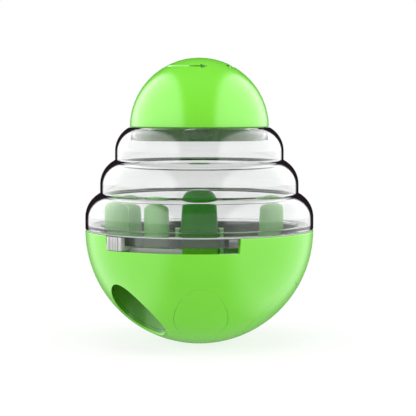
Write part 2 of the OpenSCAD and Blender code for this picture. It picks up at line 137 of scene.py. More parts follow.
class BodySettings(bpy.types.PropertyGroup):
    """Sizes of the clear stepped body."""
    foot: length("Foot height", "Height of the underside of the flange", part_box("rim_gasket")[1].z)
    seam: length("Seam height", "Height of the seam under the cap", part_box("clear_body")[1].z)
    wall: length("Wall", "Wall thickness", 2 * MM)
    steps: IntProperty(name="Steps", description="Number of steps", default=3, min=2, max=4)
    step_width: length("Step width", "How much smaller each step is than the one below", 6.55 * MM)
    step_height: length("Step height", "Height from one step to the next", 14.45 * MM)
    first_wall: length("First wall", "Height of the first upright wall", 5 * MM)
    shoulder: length("Shoulder", "Radius of the rounded shoulders", 11.8 * MM)
    crease: length("Crease", "Radius of the fillet in each outer crease", 0.7 * MM)
    inner_crease: length("Inner crease", "Radius of the rounded inner crease", 2.4 * MM)
    neck_outer: length("Neck radius", "Outer radius of the neck", 30.1 * MM)
    neck_inner: length("Neck bore", "Inner radius of the neck", 28.6 * MM)
    neck_depth: length("Neck depth", "Depth of the neck below the seam", 5.2 * MM)
    skirt_outer: length("Skirt radius", "Outer radius of the skirt", 45.4 * MM)
    skirt_wall: length("Skirt wall", "Wall thickness of the skirt", 1.7 * MM)
    skirt_depth: length("Skirt depth", "Depth of the skirt below the rim", 4.2 * MM)
    flange: length("Flange", "Thickness of the flange", 1.6 * MM)
    edge: length("Edge", "Radius of the small rounded edges", 0.3 * MM)
    lead: length("Lead", "How far the clear body climbs in a whole turn to the left", 48 * MM)
    cam_arc: angle("Cam arc", "Arc of each cam of the clear body", 12)
    cam_thickness: length("Cam thickness", "Thickness of the cams of clear body and neck", 1 * MM)
    cam_reach: length("Cam radius", "Outer radius of the cams of the clear body", 47 * MM)
    cam_depth: length("Cam depth", "Depth of their middle below the rim", 2.45 * MM)
    lug_arc: angle("Lug arc", "Arc of the stop lug in the window", 4.7)
    lug_gap: angle("Lug gap", "Gap between the lug and the right end of the window", 0.7)
    lug_clearance: length("Lug clearance", "How far the lug stays inside the ball", 0.7 * MM)
    sunk: length("Sunk", "How far lug and cams sink into the wall that they stand on", 0.5 * MM)
    neck_lead: length("Neck lead", "How far the cap climbs in a whole turn", 24 * MM)
    neck_cam_arc: angle("Neck cam arc", "Arc of each cam in the neck", 24)
    neck_cam_reach: length("Neck cam radius", "Inner radius of the cams in the neck", 27.4 * MM)
    neck_cam_depth: length("Neck cam depth", "Depth of their middle below the seam", 2.25 * MM)


class TraySettings(bpy.types.PropertyGroup):
    """Sizes of what stands on the tray and of the thumb grip."""
    floor: length("Tray floor", "Height of the tray floor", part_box("maze_tray")[1].z)
    post_foot: length("Post foot", "Radius of a treat post at its foot", 6 * MM)
    post_tip: length("Post tip", "Radius of a treat post below its round top", 5.4 * MM)
    post_brow: length("Post brow", "Radius of the round edge at the top of a post", 4.6 * MM)
    post_height: length("Post height", "Height of the posts", 26 * MM)
    peg: length("Peg", "Radius of the peg under a post", 1.95 * MM)
    peg_depth: length("Peg depth", "Length of the peg under a post", 2 * MM)
    knob: length("Knob radius", "Radius of the centre knob at its foot", 8.4 * MM)
    knob_tip: length("Knob tip", "Radius of the knob below its round top", 7.6 * MM)
    socket: length("Socket depth", "Depth of the straight part of the knob's bore", 3 * MM)
    knob_wall: length("Knob wall", "Wall thickness of the knob and its column", 1.8 * MM)
    brow: length("Brow", "Radius of the round edge at the top of the knob", 5 * MM)
    foot_ring: length("Foot ring", "How far the foot ring of the knob stands out", 0.5 * MM)
    foot_ring_height: length("Foot ring height", "Height of the foot ring", 2 * MM)
    grip_left: angle("Grip left", "Azimuth of the left side of the thumb grip", -50.7)
    grip_arc: angle("Grip arc", "Arc of the thumb grip", 10.2)
    grip_block: length("Grip block", "Thickness of the upright part of the thumb grip", 1.8 * MM)
    grip_ribs: IntProperty(name="Grip ribs", description="Ribs between the borders", default=5, min=1)
    rib_width: length("Rib width", "Width of each rib", 0.7 * MM)
    border_width: length("Border width", "Width of the border at each side of the grip", 1.4 * MM)
    rib_height: length("Rib height", "How far the ribs stand out", 0.5 * MM)


class CapSettings(bpy.types.PropertyGroup):
    """Sizes of the dome cap."""
    radius: length("Dome radius", "Outer radius of the dome", 30.4 * MM)
    wall: length("Dome wall", "Wall thickness of the dome", 2 * MM)
    edge: length("Dome edge", "Radius of the lower edge of the dome", 0.35 * MM)
    arrow_radius: length("Arrow radius", "Radius of the recessed turn arrows", 14.8 * MM)
    arrow_width: length("Arrow width", "Width of the line of each arrow", 1 * MM)
    head_width: length("Head width", "Width of the head of each arrow", 3.4 * MM)
    arrow_depth: length("Arrow depth", "Depth of the arrows", 0.6 * MM)
    arrow_edge: length("Arrow edge", "Width of the chamfer round the arrows", 0.12 * MM)


class FinishSettings(bpy.types.PropertyGroup):
    """Colours and gloss of the plastics, the silicone and the steel."""
    green: colour("Green", "Bowl, plugs and dome cap", (0.168, 0.625, 0.030))
    # Painted shade: a darker green for chute, tray, cover and collar, and for marked faces of bowl and dome,
    # in place of the shade there
    painted_shade_green: colour("Inner green", "Chute, tray, cover and collar", (0.055, 0.235, 0.012))
    grip: colour("Grip", "Thumb grip", (0.46, 0.46, 0.45))
    # Partly painted reflection: the posts' own light green, lifted a little to stand in for the reflection of
    # the clear wall in front of posts and clips
    post_green_and_reflection: colour("Post green", "Treat posts and clips", (0.300, 0.740, 0.210))
    knob_green: colour("Knob green", "Centre knob and its column", (0.022, 0.260, 0.006))
    clear: colour("Clear", "Clear plastic, seen square on", (0.870, 0.878, 0.876))
    frosted: colour("Frosted", "Shutter plate", (0.62, 0.64, 0.62))
    frost_clearness: number("Frost clearness", "Share of light that the shutter lets through", 0.45)
    # Painted shade: the near black colour painted where the clear wall is seen edge-on, in place of the dark
    # that the wall reflects and refracts there
    clear_dark_rim: colour("Clear edge", "Clear plastic, seen along its wall", (0.012, 0.008, 0.012))
    # Painted shade: the clear skirt below the flange is painted grey, in place of the shade and refraction
    # inside the bowl
    skirt: colour("Skirt", "Grey haze of the skirt below the rim", (0.100, 0.104, 0.101))
    skirt_shade_share: number("Skirt haze", "Share of that haze", 0.65)
    silicone: colour("Silicone", "Seal rings", (0.06, 0.065, 0.062))
    steel: colour("Steel", "Weight and screws", (0.56, 0.57, 0.59))
    roughness: number("Roughness", "Roughness of the green plastic", 0.2)


class StageSettings(bpy.types.PropertyGroup):
    """Camera, lamps, floor and backdrop."""
    camera_distance: length("Camera distance", "Distance of the camera in front of the axis", 650 * MM)
    camera_height: length("Camera height", "Height of the camera above the floor", 104 * MM)
    camera_pitch: angle("Camera pitch", "How far the camera looks down", 3.9412)
    camera_yaw: angle("Camera yaw", "How far the camera looks to the right", 0.3336)
    lens: number("Lens", "Focal length in millimetres on a 36 mm sensor", 128.25)
    lamp_distance: length("Lamp distance", "Distance of the side lamps from the axis", 550 * MM)
    lamp_power: number("Lamp power", "Power of each lamp in watts", 1.75)
    ambient: number("Ambient", "Strength of the even light from all round", 0.75)
    box_start: number("Box start", "How far to the side the soft boxes begin", 0.36)
    box_end: number("Box end", "How far to the side they are at full light", 0.52)
    box_light: number("Box light", "Strength of the soft boxes that gloss shows", 4)
    back_start: number("Back start", "How far to the back gloss sees less", 0.65)
    back_end: number("Back end", "How far to the back it sees least", 0.95)
    back_light: number("Back light", "Share of the boxes' light left there", 0.25)
    floor_back: number("Floor back", "Share of the floor's light left there", 0.5)
    floor_light: number("Floor light", "Strength of the floor that gloss shows", 2.0)
    floor_dark: number("Floor dark", "Strength of the floor in front", 0.5)
    floor_glow: number("Floor glow", "How much the floor glows by itself", 0.78)
    glass_top: angle("Glass top", "Elevation above which glass shows the dark", 60)
    box_dark: number("Box dark", "Strength between the soft boxes", 0.2)
    dark: number("Dark", "Strength of the dark that gloss and glass show", 0.04)
    floor_radius: length("Floor radius", "Radius at which the floor has faded away", 420 * MM)


GROUPS = {
    "bowl": BowlSettings,
    "body": BodySettings,
    "tray": TraySettings,
    "cap": CapSettings,
    "finish": FinishSettings,
    "stage": StageSettings,
}


def settings():
    """The scene's settings, one PropertyGroup for each name in GROUPS."""
    return {name: getattr(bpy.context.scene, "tumbler_" + name) for name in GROUPS}


# Points and outlines

def around(az, reach, height=0.0):
    """The point at an azimuth from the front, a distance from the axis and a height."""
    return Vector((reach * math.sin(az), -reach * math.cos(az), height))


def arc(centre, radius, start, end, steps):
    """Points on an arc in the plane of radius and height, angles in radians."""
    turn = [start + (end - start) * i / steps for i in range(steps + 1)]
    return [(centre[0] + radius * math.cos(a), centre[1] + radius * math.sin(a)) for a in turn]


def rounded(outline, steps=5):
    """A closed outline whose corners (r, z, radius) are rounded where the radius isn't nothing."""
    nearly_straight = math.radians(88)
    points = []
    count = len(outline)
    for i, corner in enumerate(outline):
        here = Vector(corner[:2])
        radius = corner[2] if len(corner) > 2 else 0
        if radius <= 0:
            points.append(tuple(here))
            continue
        before = (Vector(outline[i - 1][:2]) - here).normalized()
        after = (Vector(outline[(i + 1) % count][:2]) - here).normalized()
        half = before.angle(after) / 2
        if half > nearly_straight:
            points.append(tuple(here))
            continue
        middle = here + (before + after).normalized() * radius / math.sin(half)
        first = here + before * radius / math.tan(half)
        last = here + after * radius / math.tan(half)
        for k in range(steps + 1):
            way = (first - middle).normalized().slerp((last - middle).normalized(), k / steps)
            points.append(tuple(middle + way * radius))
    return points


def turned(outline, steps=ROUND_STEPS, tags=None):
    """A closed solid of revolution from a closed outline of (r, z). At the axis a ring is one vertex."""
    mesh = bmesh.new()
    rings = []
    for r, z in outline:
        if r < ON_AXIS:
            rings.append([mesh.verts.new((0, 0, z))] * steps)
        else:
            rings.append([mesh.verts.new(around(2 * math.pi * i / steps, r, z)) for i in range(steps)])
    for k, ring in enumerate(rings):
        other = rings[(k + 1) % len(rings)]
        for i in range(steps):
            j = (i + 1) % steps
            corners = []
            for v in (ring[i], ring[j], other[j], other[i]):
                if v not in corners:
                    corners.append(v)
            if len(corners) > 2:
                mesh.faces.new(corners).material_index = tags[k] if tags else PLAIN
    bmesh.ops.recalc_face_normals(mesh, faces=mesh.faces)
    return mesh


def swept_block(sections):
    """A closed solid through a row of outlines that all have the same number of points."""
    mesh = bmesh.new()
    rows = [[mesh.verts.new(p) for p in section] for section in sections]
    count = len(rows[0])
    for one, two in zip(rows, rows[1:]):
        for i in range(count):
            j = (i + 1) % count
            mesh.faces.new((one[i], one[j], two[j], two[i]))
    mesh.faces.new(rows[0])
    mesh.faces.new(rows[-1])
    bmesh.ops.recalc_face_normals(mesh, faces=mesh.faces)
    return mesh


def ring_part(az1, az2, outline, steps=24, climb=0.0):
    """Part of a ring with an outline of (r, z) between two azimuths, which climbs by so much on its way."""
    sections = []
    for i in range(steps + 1):
        share = i / steps
        az = az1 + (az2 - az1) * share
        sections.append([around(az, r, z + climb * (share - 0.5)) for r, z in outline])
    return swept_block(sections)


def box_outline(r1, r2, z1, z2, edge=0.0, steps=3):
    """A rectangle in the plane of radius and height, with rounded corners."""
    return rounded([(r1, z1, edge), (r2, z1, edge), (r2, z2, edge), (r1, z2, edge)], steps)


def twist_cam(az, arc_width, r1, r2, z, thickness, lead):
    """A lug that climbs with the thread, as a ring part about one azimuth."""
    half = arc_width / 2
    climb = lead * arc_width / (2 * math.pi)
    outline = box_outline(r1, r2, z - thickness / 2, z + thickness / 2)
    return ring_part(az - half, az + half, outline, steps=12, climb=climb)


# Objects

def new_object(name, mesh):
    """A mesh object at the origin from a bmesh, which is used up."""
    data = bpy.data.meshes.new(name)
    mesh.to_mesh(data)
    mesh.free()
    piece = bpy.data.objects.new(name, data)
    bpy.context.scene.collection.objects.link(piece)
    return piece


def joined(meshes):
    """One bmesh of several that don't touch."""
    whole = bmesh.new()
    for mesh in meshes:
        data = bpy.data.meshes.new("part")
        mesh.to_mesh(data)
        mesh.free()
        whole.from_mesh(data)
        bpy.data.meshes.remove(data)
    return whole


def evaluated(piece):
    """Replaces a piece's mesh by what its modifiers make of it and removes them."""
    bpy.context.view_layer.update()
    graph = bpy.context.evaluated_depsgraph_get()
    data = bpy.data.meshes.new_from_object(piece.evaluated_get(graph))
    piece.modifiers.clear()
    old = piece.data
    piece.data = data
    bpy.data.meshes.remove(old)


def combine(piece, mesh, operation):
    """Cuts a bmesh out of a piece (DIFFERENCE) or adds it (UNION)."""
    tool = new_object("tool", mesh)
    change = piece.modifiers.new("combine", "BOOLEAN")
    change.operation = operation
    change.solver = "EXACT"
    change.object = tool
    evaluated(piece)
    data = tool.data
    bpy.data.objects.remove(tool)
    bpy.data.meshes.remove(data)


def smooth(piece, rules=None):
    """Shades a piece smooth between its sharp edges. Rules give the true normal at a point for a tag."""
    data = piece.data
    data.shade_smooth()
    data.set_sharp_from_angle(angle=SHARP_ANGLE)
    if rules:
        normals = [Vector(n.vector) for n in data.corner_normals]
        for face in data.polygons:
            rule = rules.get(face.material_index)
            if rule:
                for loop in face.loop_indices:
                    normals[loop] = rule(data.vertices[data.loops[loop].vertex_index].co)
        data.normals_split_custom_set(normals)
    for face in data.polygons:
        face.material_index = 0
    return piece


def mark(piece, name, test):
    """Gives a piece a face attribute that is 1 where the test of a face says so and 0 elsewhere."""
    layer = piece.data.attributes.new(name, "FLOAT", "FACE")
    layer.data.foreach_set("value", [float(test(face)) for face in piece.data.polygons])


def tagged(piece):
    """Gives a piece an empty material slot for each tag, so that a cut keeps every surface's tag."""
    for _ in (PLAIN, OUTSIDE, INSIDE, BORE, LIP):
        piece.data.materials.append(None)
    return piece


def bevelled(piece, width, segments):
    """Rounds the sharp edges of a piece."""
    bevel = piece.modifiers.new("edge", "BEVEL")
    bevel.width = width
    bevel.segments = segments
    bevel.limit_method = "ANGLE"
    evaluated(piece)
    return piece


def finish_piece(piece, body, material, slot, *nodes):
    """Gives a piece its material, body and slot and lets it stand for its CAD nodes."""
    piece.data.materials.clear()
    piece.data.materials.append(material)
    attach(piece, body)
    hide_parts(*nodes)


def polished_copy(node, rules=None):
    """A copy of a CAD node with its loose triangles merged. Rules give a test of a point for each tag."""
    mesh = bmesh.new()
    mesh.from_mesh(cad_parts[node].data)
    bmesh.ops.remove_doubles(mesh, verts=mesh.verts, dist=SMALL / 10)
    for face in mesh.faces:
        face.material_index = PLAIN
        if rules:
            for tag, test in rules.items():
                if all(test(v.co) for v in face.verts):
                    face.material_index = tag
    return new_object(node + "_piece", mesh)


# Materials

class Nodes:
    """A small helper that adds and links the nodes of one tree."""

    def __init__(self, tree):
        self.tree = tree
        tree.nodes.clear()

    def add(self, kind, inputs=None, **attributes):
        """Adds a node, sets its attributes, and sets or links its inputs."""
        node = self.tree.nodes.new(kind)
        for name, value in attributes.items():
            setattr(node, name, value)
        for name, value in (inputs or {}).items():
            socket = node.inputs[name]
            if isinstance(value, bpy.types.NodeSocket):
                self.tree.links.new(value, socket)
            else:
                socket.default_value = value
        return node

    def ramp(self, factor, stops):
        """A colour ramp with stops of (place, colour)."""
        node = self.add("ShaderNodeValToRGB", {"Fac": factor})
        elements = node.color_ramp.elements
        while len(elements) < len(stops):
            elements.new(0.5)
        for element, (place, rgb) in zip(elements, stops):
            element.position = place
            element.color = (*rgb, 1)
        return node.outputs["Color"]

    def place(self):
        """Where a point lies on its piece."""
        return self.add("ShaderNodeTexCoord").outputs["Object"]

    def noise(self, scale, detail):
        """Soft noise all over a piece, from 0 to 1."""
        return self.add("ShaderNodeTexNoise", {"Vector": self.place(), "Scale": scale,
                                               "Detail": detail}).outputs["Fac"]

    def bump(self, height, strength, distance):
        """The normal of a surface that a pattern makes uneven."""
        return self.add("ShaderNodeBump", {"Height": height, "Strength": strength,
                                           "Distance": distance}).outputs["Normal"]

    def fade(self, value, start, end, low=0.0, high=1.0, kind="SMOOTHSTEP"):
        """A change from low to high while a value goes from start to end."""
        return self.add("ShaderNodeMapRange", {
            "Value": value, "From Min": start, "From Max": end, "To Min": low, "To Max": high},
            interpolation_type=kind).outputs["Result"]

    def spread(self, value, low, high):
        """An even change from low to high while a value goes from 0 to 1."""
        return self.fade(value, 0.0, 1.0, low, high, "LINEAR")

    def maths(self, operation, *values):
        """The result of one sum on values or sockets."""
        return self.add("ShaderNodeMath", dict(enumerate(values)), operation=operation).outputs[0]

    def mixed(self, factor, first, second):
        """The first shader where the factor is 0, and the second where it is 1."""
        return self.add("ShaderNodeMixShader", {"Fac": factor, 1: first, 2: second}).outputs["Shader"]

    def blended(self, factor, first, second):
        """The first colour where the factor is 0, and the second where it is 1."""
        # A mix of colours has them at inputs 6 and 7, and its result at output 2
        node = self.add("ShaderNodeMix", {"Factor": factor, 6: first, 7: second}, data_type="RGBA")
        return node.outputs[2]


def new_material(name):
    """An empty node material and the helper for its tree."""
    material = bpy.data.materials.new(name)
    material.use_nodes = True
    return material, Nodes(material.node_tree)


def shade(rgb, factor):
    """A colour made darker or lighter."""
    return tuple(min(1.0, c * factor) for c in rgb)


def moulded_plastic(name, rgb, roughness, ior=1.5, painted_shade_rgb=None):
    """Opaque glossy plastic with a faint mould texture and uneven gloss."""
    material, nodes = new_material(name)
    flow = nodes.noise(scale=35.0, detail=3.0)
    grain = nodes.noise(scale=900.0, detail=2.0)
    tint = nodes.ramp(flow, [(0.3, shade(rgb, 0.965)), (0.7, shade(rgb, 1.03))])
    # Faces marked for painted shade take the darker green
    if painted_shade_rgb:
        inner = nodes.add("ShaderNodeAttribute", attribute_name=PAINTED_SHADE).outputs["Fac"]
        tint = nodes.blended(inner, tint, (*painted_shade_rgb, 1))
    shader = nodes.add("ShaderNodeBsdfPrincipled", {
        "Base Color": tint, "Roughness": nodes.spread(grain, roughness * 0.9, roughness * 1.12),
        "Normal": nodes.bump(grain, strength=0.06, distance=0.02 * MM), "IOR": ior})
    nodes.add("ShaderNodeOutputMaterial", {"Surface": shader.outputs["BSDF"]})
    return material


def clear_plastic(name, rgb, dark_rim_rgb, skirt_shade_height, skirt_shade_rgb, skirt_shade):
    """Clear polished plastic, near black where it is seen along its wall, and smoky below a height."""
    soft = 0.1 * MM
    skirt_shade_gloss = 0.6
    up_share = 0.09
    clear_until = 0.74
    dark_from = 0.80
    material, nodes = new_material(name)
    clear = nodes.add("ShaderNodeBsdfPrincipled", {
        "Base Color": (*rgb, 1), "Roughness": 0.02, "IOR": 1.46, "Transmission Weight": 1.0,
        "Normal": nodes.bump(nodes.noise(scale=60.0, detail=1.0), strength=0.03, distance=0.05 * MM)})
    lamps = nodes.add("ShaderNodeBsdfTransparent", {"Color": (*rgb, 1)})
    height = nodes.add("ShaderNodeSeparateXYZ", {"Vector": nodes.place()}).outputs["Z"]
    # Below the flange the painted grey shade of the skirt takes over
    above = nodes.fade(height, skirt_shade_height - soft, skirt_shade_height + soft, kind="LINEAR")
    # One shader for both painted marks: the grey shade of the skirt below the height, and the dark rim above
    # it
    edge = nodes.add("ShaderNodeBsdfPrincipled", {
        "Base Color": nodes.ramp(above, [(0.0, skirt_shade_rgb), (1.0, dark_rim_rgb)]), "Roughness": 0.05,
        "Specular IOR Level": nodes.spread(above, skirt_shade_gloss, 0.0)})

    # The painted dark rim starts a little earlier where the outside faces up
    facing = nodes.add("ShaderNodeLayerWeight", {"Blend": 0.5}).outputs["Facing"]
    normal = nodes.add("ShaderNodeNewGeometry").outputs["Normal"]
    rise = nodes.add("ShaderNodeSeparateXYZ", {"Vector": normal}).outputs["Z"]
    facing = nodes.maths("MULTIPLY_ADD", rise, up_share, facing)
    outer = nodes.add("ShaderNodeAttribute", attribute_name=OUTER).outputs["Fac"]
    # Mask of the painted dark rim, on the outer side only
    along = nodes.maths("MULTIPLY", nodes.fade(facing, clear_until, dark_from), outer)
    cover = nodes.maths("MAXIMUM", along, nodes.spread(above, skirt_shade, 0.0))
    seen = nodes.mixed(cover, clear.outputs["BSDF"], edge.outputs["BSDF"])
    shadow = nodes.add("ShaderNodeLightPath").outputs["Is Shadow Ray"]
    surface = nodes.mixed(shadow, seen, lamps.outputs["BSDF"])
    nodes.add("ShaderNodeOutputMaterial", {"Surface": surface})
    return material


def frosted_plastic(name, rgb, clearness):
    """Milky plastic that lets some light through, with faint flow marks."""
    material, nodes = new_material(name)
    flow = nodes.noise(scale=120.0, detail=3.0)
    tint = nodes.ramp(flow, [(0.3, shade(rgb, 0.94)), (0.7, shade(rgb, 1.05))])
    shader = nodes.add("ShaderNodeBsdfPrincipled", {
        "Base Color": tint, "Roughness": 0.18, "IOR": 1.46, "Transmission Weight": clearness,
        "Normal": nodes.bump(flow, strength=0.05, distance=0.05 * MM)})
    nodes.add("ShaderNodeOutputMaterial", {"Surface": shader.outputs["BSDF"]})
    return material


def silicone_rubber(name, rgb):
    """Translucent satin silicone with a fine matt grain."""
    material, nodes = new_material(name)
    grain = nodes.noise(scale=1500.0, detail=2.0)
    tint = nodes.ramp(grain, [(0.35, shade(rgb, 0.9)), (0.65, shade(rgb, 1.1))])
    shader = nodes.add("ShaderNodeBsdfPrincipled", {
        "Base Color": tint, "Roughness": 0.45, "IOR": 1.42, "Transmission Weight": 0.35,
        "Normal": nodes.bump(grain, strength=0.15, distance=0.03 * MM)})
    nodes.add("ShaderNodeOutputMaterial", {"Surface": shader.outputs["BSDF"]})
    return material


def turned_steel(name, rgb):
    """Steel with fine turning rings about the vertical axis."""
    material, nodes = new_material(name)
    rings = nodes.add("ShaderNodeTexWave", {"Vector": nodes.place(), "Scale": 900.0, "Distortion": 0.6,
                                            "Detail": 2.0}, wave_type="RINGS", rings_direction="Z")
    stain = nodes.noise(scale=90.0, detail=4.0)
    tint = nodes.ramp(stain, [(0.3, shade(rgb, 0.85)), (0.7, shade(rgb, 1.08))])
    shader = nodes.add("ShaderNodeBsdfPrincipled", {
        "Base Color": tint, "Metallic": 1.0, "Roughness": nodes.spread(stain, 0.26, 0.4),
        "Normal": nodes.bump(rings.outputs["Fac"], strength=0.25, distance=0.02 * MM)})
    nodes.add("ShaderNodeOutputMaterial", {"Surface": shader.outputs["BSDF"]})
    return material


def finish(name):
    """The material of that name, made when it is first asked for."""
    if name in bpy.data.materials:
        return bpy.data.materials[name]
    s = settings()["finish"]
    makers = {
        "glossy_green": lambda: moulded_plastic(name, s.green, s.roughness, painted_shade_rgb=s.painted_shade_green),
        "painted_shade_green": lambda: moulded_plastic(name, s.painted_shade_green, roughness=1.6 * s.roughness),
        "post_green_and_reflection": lambda: moulded_plastic(name, s.post_green_and_reflection, roughness=1.3 * s.roughness),
        "knob_green": lambda: moulded_plastic(name, s.knob_green, s.roughness, ior=1.25),
        "frosted": lambda: frosted_plastic(name, s.frosted, s.frost_clearness),
        "clear_body": lambda: clear_plastic(name, s.clear, s.clear_dark_rim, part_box("rim_gasket")[1].z,
                                            s.skirt, s.skirt_shade_share),
        "grip_plastic": lambda: moulded_plastic(name, s.grip, roughness=1.2 * s.roughness),
        "silicone": lambda: silicone_rubber(name, s.silicone),
        "steel": lambda: turned_steel(name, s.steel),
    }
    return makers[name]()


# Pieces

def hole_places(bowl):
    """Each round hole's azimuth and the widths of its lip, towards the axis and away from it."""
    seam = (bowl.seam_lip, bowl.seam_lip)
    mouth = (bowl.outlet_lip, bowl.outlet_edge)
    return [(bowl.outlet, mouth), (bowl.front_hole, seam), (bowl.right_hole, seam)]


def lip_ball(bowl, az, widths, way):
    """Middle and radius of a small ball that rolls inside the wall along a hole's edge."""
    axis = around(az, bowl.hole_reach)
    out = Vector((math.cos(way), math.sin(way), 0))
    share = (1 + out.dot(axis.normalized())) / 2
    width = widths[0] + (widths[1] - widths[0]) * share
    edge = axis + out * bowl.hole_radius
    edge.z = -math.sqrt(bowl.radius ** 2 - edge.x ** 2 - edge.y ** 2)
    radius = width / math.tan(edge.angle(-out) / 2)
    centre = axis + out * (bowl.hole_radius + radius)
    centre.z = bowl.rim - math.sqrt((bowl.radius - radius) ** 2 - centre.x ** 2 - centre.y ** 2)
    return centre, radius


def hole_cutter(bowl, az, widths, steps=128, lip_steps=8):
    """What is cut away for one round hole: an upright column with a rounded lip at the surface.

    Its outer edge and its tip lie outside the bowl, at the distances skin and tip in radii of the bowl.
    """
    skin = 1.04
    tip = 1.1
    top = bowl.rim - 12 * MM
    mesh = bmesh.new()
    middle = Vector((0, 0, bowl.rim))
    axis = around(az, bowl.hole_reach)
    rings = []
    for i in range(steps):
        way = 2 * math.pi * i / steps
        out = Vector((math.cos(way), math.sin(way), 0))
        centre, lip = lip_ball(bowl, az, widths, way)
        to_ball = (centre - middle).normalized()
        points = [middle + to_ball * bowl.radius * skin]
        for k in range(lip_steps + 1):
            points.append(centre + to_ball.slerp(-out, k / lip_steps) * lip)
        points.append(Vector((points[-1].x, points[-1].y, top)))
        rings.append([mesh.verts.new(p) for p in points])
    count = len(rings[0])
    down = (Vector((axis.x, axis.y, 0)) - middle).normalized()
    low = mesh.verts.new(middle + down * bowl.radius * tip)
    high = mesh.verts.new((axis.x, axis.y, top))
    for i, ring in enumerate(rings):
        other = rings[(i + 1) % steps]
        mesh.faces.new((low, other[0], ring[0]))
        mesh.faces.new((high, ring[-1], other[-1]))
        for k in range(count - 1):
            face = mesh.faces.new((ring[k], other[k], other[k + 1], ring[k + 1]))
            if k == count - 2:
                face.material_index = BORE
            elif k > 0:
                face.material_index = LIP
    bmesh.ops.recalc_face_normals(mesh, faces=mesh.faces)
    return mesh


def window_cutter(bowl, skirt_outer):
    """What is cut away for the window in the rim, a little wider at the outside for a chamfered edge."""
    low = bowl.rim - bowl.window_depth
    high = bowl.rim + 2 * MM
    edge = bowl.window_edge
    turn = edge / bowl.radius
    steps = 72

    # The chamfer starts one edge width inside the bowl's surface and goes on this many past it
    past = 3
    rise = past + 1
    sections = []
    for i in range(steps + 1):
        az = bowl.window_left + (bowl.window_right - bowl.window_left) * i / steps
        flare = turn if i == steps else (-turn if i == 0 else 0)
        wide = az + rise * flare
        sections.append([around(az, skirt_outer, low), around(az, skirt_outer, high),
                         around(az, bowl.radius - edge, high),
                         around(wide, bowl.radius + past * edge, high),
                         around(wide, bowl.radius + past * edge, low - rise * edge),
                         around(az, bowl.radius - edge, low)])
    return swept_block(sections)


def tagged_outline(stretches):
    """One outline of several stretches of points, with the tag of each stretch for the surface it makes."""
    outline = []
    tags = []
    for points, tag in stretches:
        outline += points
        tags += [tag] * (len(points) - 1) + [PLAIN]
    return outline, tags


def bowl_outline(bowl, steps=72):
    """Outline of the bowl's shell, with a tag for each stretch."""
    edge = bowl.rim_edge
    inner = bowl.radius - bowl.wall
    middle = (0, bowl.rim)
    foot_turn = math.asin(bowl.foot / bowl.radius) - math.pi / 2
    return tagged_outline([
        ([(0, bowl.rim + bowl.radius * math.sin(foot_turn))], PLAIN),
        (arc(middle, bowl.radius, foot_turn, -math.asin(edge / (bowl.radius - edge)), steps), OUTSIDE),
        (arc((bowl.radius - edge, bowl.rim - edge), edge, 0, math.pi / 2, steps=4), PLAIN),
        (arc((inner + edge, bowl.rim - edge), edge, math.pi / 2, math.pi, steps=4), PLAIN),
        (arc(middle, inner, -math.asin(edge / inner), -math.pi / 2, steps), INSIDE)])


def upright(az, reach, radius, low, high, steps=48):
    """An upright round column between two levels. Each level is a rule from a point to its height there."""
    middle = around(az, reach)
    ring = [middle + around(2 * math.pi * i / steps, radius) for i in range(steps)]
    return swept_block([[Vector((p.x, p.y, level(p))) for p in ring] for level in (low, high)])


def bowl_insides(bowl, body):
    """What stands inside the bowl: bosses, the tray ledge and the ledges that hold down the clear body."""
    in_wall = bowl.radius - bowl.wall / 2
    boss_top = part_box("ballast_cover")[0].z
    ledge_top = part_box("maze_tray")[0].z
    insides = []
    for az in BOSS_AZIMUTHS:
        insides.append(upright(math.radians(az), bowl.boss_reach, bowl.boss_radius,
                               lambda p: bowl.rim - math.sqrt(in_wall ** 2 - p.x ** 2 - p.y ** 2),
                               lambda p: boss_top))
    low = ledge_top - bowl.ledge_height
    outline = [(bowl.ledge_inner, low)]
    outline += [(math.sqrt(in_wall ** 2 - (bowl.rim - z) ** 2), z) for z in (low, ledge_top)]
    outline.append((bowl.ledge_inner, ledge_top))
    insides.append(ring_part(bowl.ledge_start, bowl.ledge_end, outline, steps=160))
    for az in CAM_AZIMUTHS:
        insides.append(twist_cam(math.radians(az), body.cam_arc, bowl.lock_inner, in_wall,
                                 bowl.rim - bowl.lock_depth, body.cam_thickness, -body.lead))
    return insides


def make_bowl():
    """The round bowl: shell, holes with rounded lips, window, bosses, tray ledge and lock ledges."""
    s = settings()
    bowl = s["bowl"]
    outline, tags = bowl_outline(bowl)
    piece = tagged(new_object("round_bowl", turned(outline, tags=tags)))
    cutters = [hole_cutter(bowl, az, lip) for az, lip in hole_places(bowl)]
    cutters.append(window_cutter(bowl, s["body"].skirt_outer))
    combine(piece, joined(cutters), "DIFFERENCE")
    combine(piece, joined(bowl_insides(bowl, s["body"])), "UNION")
    boss_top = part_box("ballast_cover")[0].z
    above_boss = boss_top + 1 * MM
    combine(piece, joined([upright(math.radians(az), bowl.boss_reach, bowl.thread_radius,
                                   lambda p: boss_top - bowl.thread_depth, lambda p: above_boss)
                           for az in BOSS_AZIMUTHS]), "DIFFERENCE")
    middle = Vector((0, 0, bowl.rim))
    inner_r = bowl.radius - bowl.wall
    # The bowl's inside and the bores of its holes are marked for painted shade
    mark(piece, PAINTED_SHADE, lambda face: face.material_index in (INSIDE, BORE)
         or (face.center - middle).length < inner_r - SMALL)

    def bore_normal(p):
        axis = min((around(az, bowl.hole_reach) for az, _ in hole_places(bowl)),
                   key=lambda a: (a.xy - p.xy).length)
        return Vector((axis.x - p.x, axis.y - p.y, 0)).normalized()

    def lip_normal(p):
        az, widths = min(hole_places(bowl), key=lambda h: (around(h[0], bowl.hole_reach).xy - p.xy).length)
        axis = around(az, bowl.hole_reach)
        centre, _ = lip_ball(bowl, az, widths, math.atan2(p.y - axis.y, p.x - axis.x))
        return (p - centre).normalized()

    smooth(piece, {
        OUTSIDE: lambda p: (p - middle).normalized(),
        INSIDE: lambda p: (middle - p).normalized(),
        BORE: bore_normal,
        LIP: lip_normal,
    })
    finish_piece(piece, "base", finish("glossy_green"), "green_plastic", "lower_bowl")


